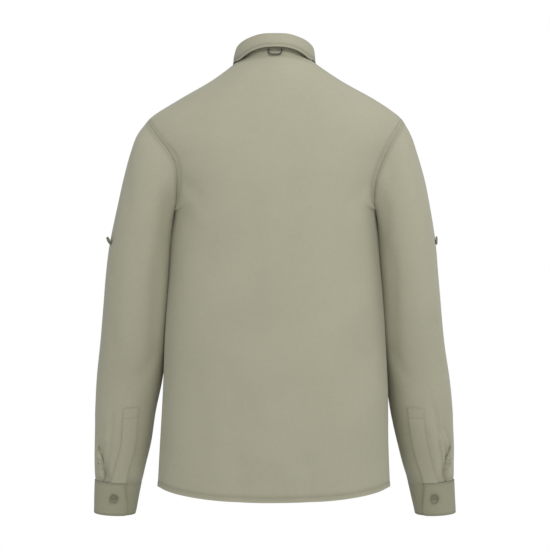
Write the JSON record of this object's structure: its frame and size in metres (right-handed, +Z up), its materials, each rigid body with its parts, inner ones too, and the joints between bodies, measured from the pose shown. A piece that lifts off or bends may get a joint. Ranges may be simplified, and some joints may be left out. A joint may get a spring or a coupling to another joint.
{
  "type": "long-sleeved travel shirt",
  "caption": "Long-sleeved collared travel shirt, filled out with no wearer, with buttoned cuffs, sleeve plackets, roll-up buttons and a hanging loop.",
  "frame": {"origin": "on the centre line, level with the neck points of the shoulder seams, where the wearer's shoulders hold the shirt", "axes": "+Z up, +Y out of the front, -Y out of the back, +X to the wearer's right"},
  "size_m": [0.6206, 0.2612, 0.8098],
  "materials": {
    "sage_cloth": "matt, fine plain weave, soft sheen at the edges",
    "loop_cord": "braided cord, matt",
    "button_plastic": "satin"
  },
  "bodies": {
    "root": {"back": "sage_cloth", "front_left": "sage_cloth", "front_right": "sage_cloth", "front_band": "sage_cloth", "collar_stand": "sage_cloth", "collar_fall": "sage_cloth", "sleeve_left": "sage_cloth", "sleeve_right": "sage_cloth", "sleeve_placket_left": "sage_cloth", "sleeve_placket_right": "sage_cloth", "cuff_left": "sage_cloth", "cuff_right": "sage_cloth", "hanging_loop": "loop_cord", "button_stand": "button_plastic", "button_front_1": "button_plastic", "button_front_2": "button_plastic", "button_front_3": "button_plastic", "button_front_4": "button_plastic", "button_front_5": "button_plastic", "button_front_6": "button_plastic", "cuff_button_left": "button_plastic", "cuff_button_right": "button_plastic", "tab_button_left": "button_plastic", "tab_button_right": "button_plastic"}
  },
  "joints": []
}
